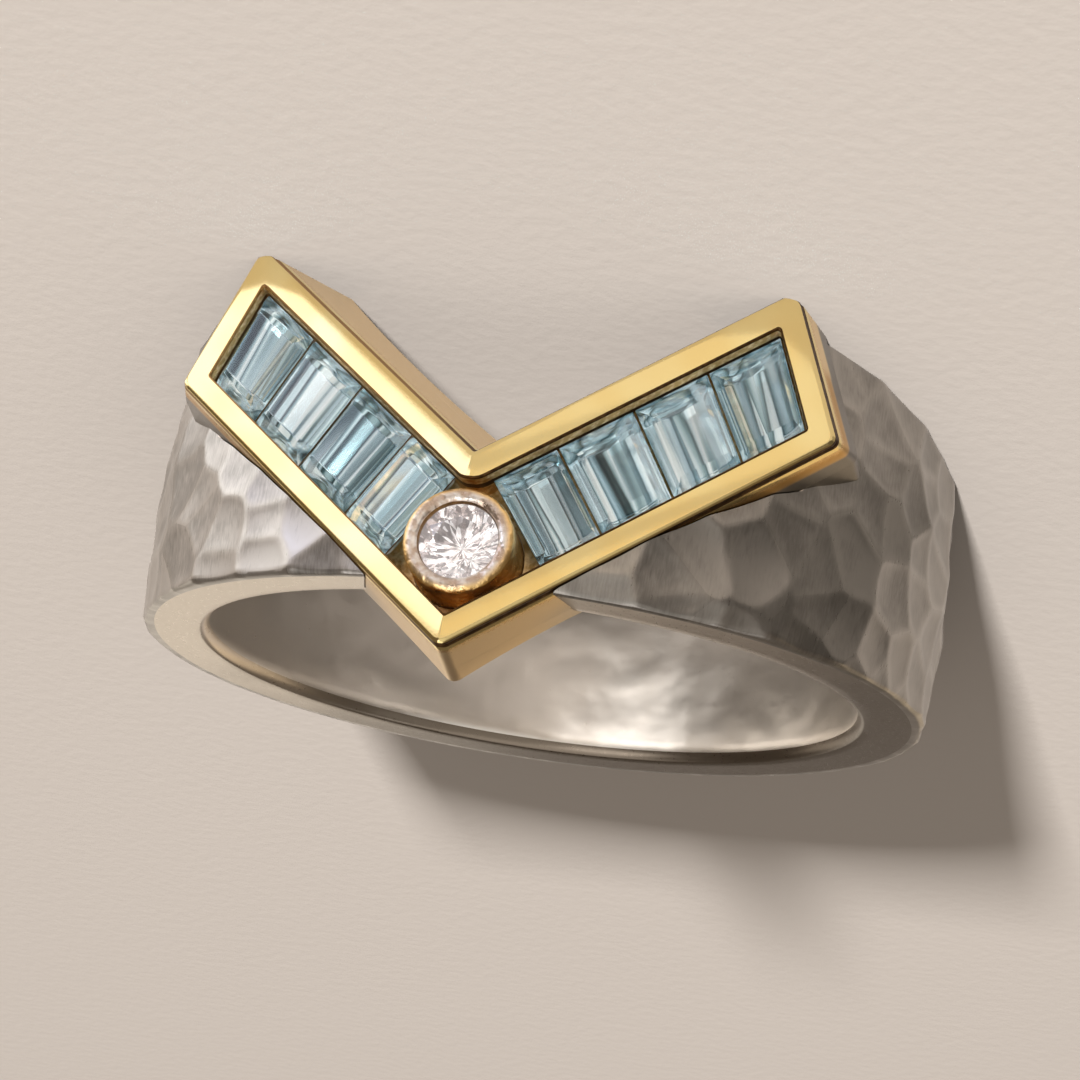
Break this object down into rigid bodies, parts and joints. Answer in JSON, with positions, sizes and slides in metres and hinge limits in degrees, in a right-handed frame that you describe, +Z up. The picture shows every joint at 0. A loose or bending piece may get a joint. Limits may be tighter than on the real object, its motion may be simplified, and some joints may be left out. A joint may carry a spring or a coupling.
{
  "type": "chevron ring",
  "caption": "Finger ring with a tapered, hammered band and a raised gold chevron channel of step-cut pale aqua baguettes, with a round brilliant in a collet at its point.",
  "frame": {"origin": "on the surface that the ring lies on, under the middle of its box", "axes": "+Z up, nearly along the bore; the ring lies on its far rim, the chevron faces -Y with its point up, and its left arm in the picture runs to +X"},
  "size_m": [0.0222, 0.0224, 0.0113],
  "materials": {
    "band_metal": "hammered, fine satin",
    "yellow_gold": "polished",
    "collet_gold": "burnished",
    "clear_stone": "faceted, polished",
    "aqua_stone": "step cut, polished"
  },
  "bodies": {
    "root": {"band": "band_metal", "chevron_frame": "yellow_gold", "collet": "collet_gold", "brilliant": "clear_stone", "baguette_l1": "aqua_stone", "baguette_l2": "aqua_stone", "baguette_l3": "aqua_stone", "baguette_l4": "aqua_stone", "baguette_r1": "aqua_stone", "baguette_r2": "aqua_stone", "baguette_r3": "aqua_stone", "baguette_r4": "aqua_stone"}
  },
  "joints": []
}
